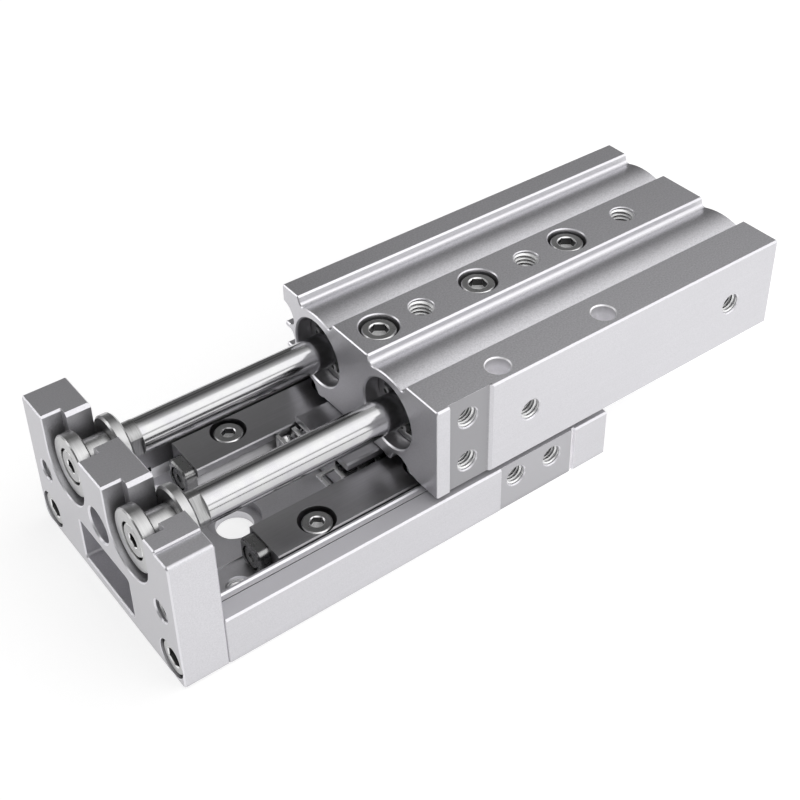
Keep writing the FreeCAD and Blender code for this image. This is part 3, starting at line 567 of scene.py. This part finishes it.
# ---------------------------------------------------------------- floor, light, camera
def floor():
    m = Mat("floor_paper")
    n = m.noise(900.0, 3.0)
    m.to("Base Color", m.mix(n, (0.37, 0.37, 0.37, 1.0), (0.40, 0.40, 0.40, 1.0)))
    m.to("Roughness", m.remap(n, 0.3, 0.7, 0.75, 0.9))
    # painted light: the floor glows, brighter towards the front right, where the light falls
    m.set(Specular_IOR_Level=0.1, Emission_Strength=1.0)
    lit = m.nt.nodes.new("ShaderNodeVectorMath")
    lit.operation = "DOT_PRODUCT"
    lit.inputs[1].default_value = (0.59, -0.81, 0.0)
    m.link(m.co, lit.inputs[0])
    m.to("Emission Color", m.mix(m.remap(lit.outputs["Value"], -0.03, 0.09, 0.0, 1.0), grey(0.70), grey(0.88)))
    bm = bmesh.new()
    bmesh.ops.create_grid(bm, x_segments=8, y_segments=8, size=4.0)
    for v in bm.verts:
        v.co.z = -0.0003
    me = bpy.data.meshes.new("floor")
    bm.to_mesh(me)
    bm.free()
    me.materials.append(m.mat)
    ob = bpy.data.objects.new("floor", me)
    scene.collection.objects.link(ob)


floor()


def softbox(name, direction, distance, size, radiance):
    d = Vector(direction).normalized()
    light = bpy.data.lights.new(name, "AREA")
    light.shape = "RECTANGLE"
    light.size, light.size_y = size
    light.energy = radiance * math.pi * size[0] * size[1]
    ob = bpy.data.objects.new(name, light)
    ob.location = Vector((0, 0, 0.02)) + d * distance
    ob.rotation_mode = "QUATERNION"
    ob.rotation_quaternion = d.to_track_quat("Z", "Y")
    scene.collection.objects.link(ob)


softbox("fill", (-0.64, 0.62, 0.45), 0.9, (0.5, 0.4), 2.2)


def flag(name, x0, x1, y0, y1, z, near, far):
    """A studio flag above the rods, out of the picture: a card that fades from light to dark along Y, in mm."""
    m = Mat(name)
    m.to("Base Color", m.mix(m.noise(40.0), grey(0.03), grey(0.05)))
    fade = m.remap(m.axis("Y"), y0 * MM, (y0 + 0.75 * (y1 - y0)) * MM, 0.0, 1.0)
    fade = m.math("POWER", fade, 0.42)
    m.to("Emission Color", m.mix(fade, grey(near), grey(far)))
    m.set(Roughness=0.9, Emission_Strength=1.0)
    bm = bmesh.new()
    bm.faces.new([bm.verts.new((x * MM, y * MM, z * MM)) for x, y in ((x0, y0), (x1, y0), (x1, y1), (x0, y1))])
    me = bpy.data.meshes.new(name)
    bm.to_mesh(me)
    bm.free()
    me.materials.append(m.mat)
    ob = bpy.data.objects.new(name, me)
    scene.collection.objects.link(ob)
    ob.visible_camera = ob.visible_diffuse = ob.visible_shadow = False


flag("flag", -35.0, 31.0, -6.0, 96.0, 130.0, 1.4, 0.06)

# a broad soft light from the front right, above, that fades into a dim room
world = bpy.data.worlds.new("studio")
scene.world = world
world.use_nodes = True
wn = world.node_tree
wn.nodes.clear()
wo = wn.nodes.new("ShaderNodeOutputWorld")
wb = wn.nodes.new("ShaderNodeBackground")
wn.links.new(wb.outputs["Background"], wo.inputs["Surface"])
wc = wn.nodes.new("ShaderNodeTexCoord")
wd = wn.nodes.new("ShaderNodeVectorMath")
wd.operation = "DOT_PRODUCT"
wd.inputs[1].default_value = (0.478, -0.569, 0.669)
wn.links.new(wc.outputs["Generated"], wd.inputs[0])
wm = wn.nodes.new("ShaderNodeMapRange")
wm.inputs["From Min"].default_value = -1.0
wm.inputs["From Max"].default_value = 1.0
wn.links.new(wd.outputs["Value"], wm.inputs["Value"])
wr = wn.nodes.new("ShaderNodeValToRGB")
wn.links.new(wm.outputs["Result"], wr.inputs["Fac"])
ramp = wr.color_ramp
ramp.interpolation = "EASE"
steps = ((-0.6, 0.22), (-0.15, 0.19), (0.1, 0.165), (0.3, 0.23), (0.45, 0.80), (0.6, 1.08), (0.72, 1.26),
         (0.85, 1.50), (0.95, 1.70), (1.0, 1.70))
top = 1.8
for i, (d, v) in enumerate(steps):
    if i < 2:
        e = ramp.elements[i]
        e.position = (d + 1) / 2
    else:
        e = ramp.elements.new((d + 1) / 2)
    e.color = (v / top, v / top, v / top, 1)
# dark gaps at the horizon and between the light's two panels
ws = wn.nodes.new("ShaderNodeSeparateXYZ")
wn.links.new(wc.outputs["Generated"], ws.inputs["Vector"])
wg = wn.nodes.new("ShaderNodeValToRGB")
wn.links.new(ws.outputs["Z"], wg.inputs["Fac"])
gaps = ((0.0, 0.2), (0.05, 0.2), (0.11, 1.0), (0.44, 1.0), (0.49, 0.35), (0.54, 0.35), (0.59, 1.0))
for i, (z, v) in enumerate(gaps):
    e = wg.color_ramp.elements[i] if i < 2 else wg.color_ramp.elements.new(z)
    e.position = z
    e.color = (v, v, v, 1)
wx = wn.nodes.new("ShaderNodeMix")
wx.data_type = "RGBA"
wx.blend_type = "MULTIPLY"
wx.inputs["Factor"].default_value = 1.0
sides = [k for k in wx.inputs if k.type == "RGBA"]
wn.links.new(wr.outputs["Color"], sides[0])
wn.links.new(wg.outputs["Color"], sides[1])
wn.links.new([k for k in wx.outputs if k.type == "RGBA"][0], wb.inputs["Color"])
# the room is dimmer towards the back right
wk = wn.nodes.new("ShaderNodeVectorMath")
wk.operation = "DOT_PRODUCT"
wk.inputs[1].default_value = (0.857, 0.504, 0.101)
wn.links.new(wc.outputs["Generated"], wk.inputs[0])
wf = wn.nodes.new("ShaderNodeMapRange")
for key, v in (("From Min", 0.77), ("From Max", 0.90), ("To Min", top), ("To Max", 0.25 * top)):
    wf.inputs[key].default_value = v
wn.links.new(wk.outputs["Value"], wf.inputs["Value"])
wn.links.new(wf.outputs["Result"], wb.inputs["Strength"])

cam = bpy.data.cameras.new("camera")
cam.lens = 64.589
cam.sensor_width = 36.0
cam.sensor_fit = "HORIZONTAL"
cam.shift_y = -0.125
cam.clip_start, cam.clip_end = 0.01, 20.0
eye = bpy.data.objects.new("camera", cam)
right = Vector((0.800141, -0.599616, -0.015346))
up = Vector((0.364128, 0.465253, 0.806815))
back = Vector((-0.47664, -0.651153, 0.590605))
eye.matrix_world = Matrix((
    (right.x, up.x, back.x, -0.155358),
    (right.y, up.y, back.y, -0.204443),
    (right.z, up.z, back.z, 0.227908),
    (0, 0, 0, 1),
))
scene.collection.objects.link(eye)
scene.camera = eye
scene.view_settings.view_transform = "Standard"
scene.view_settings.look = "None"
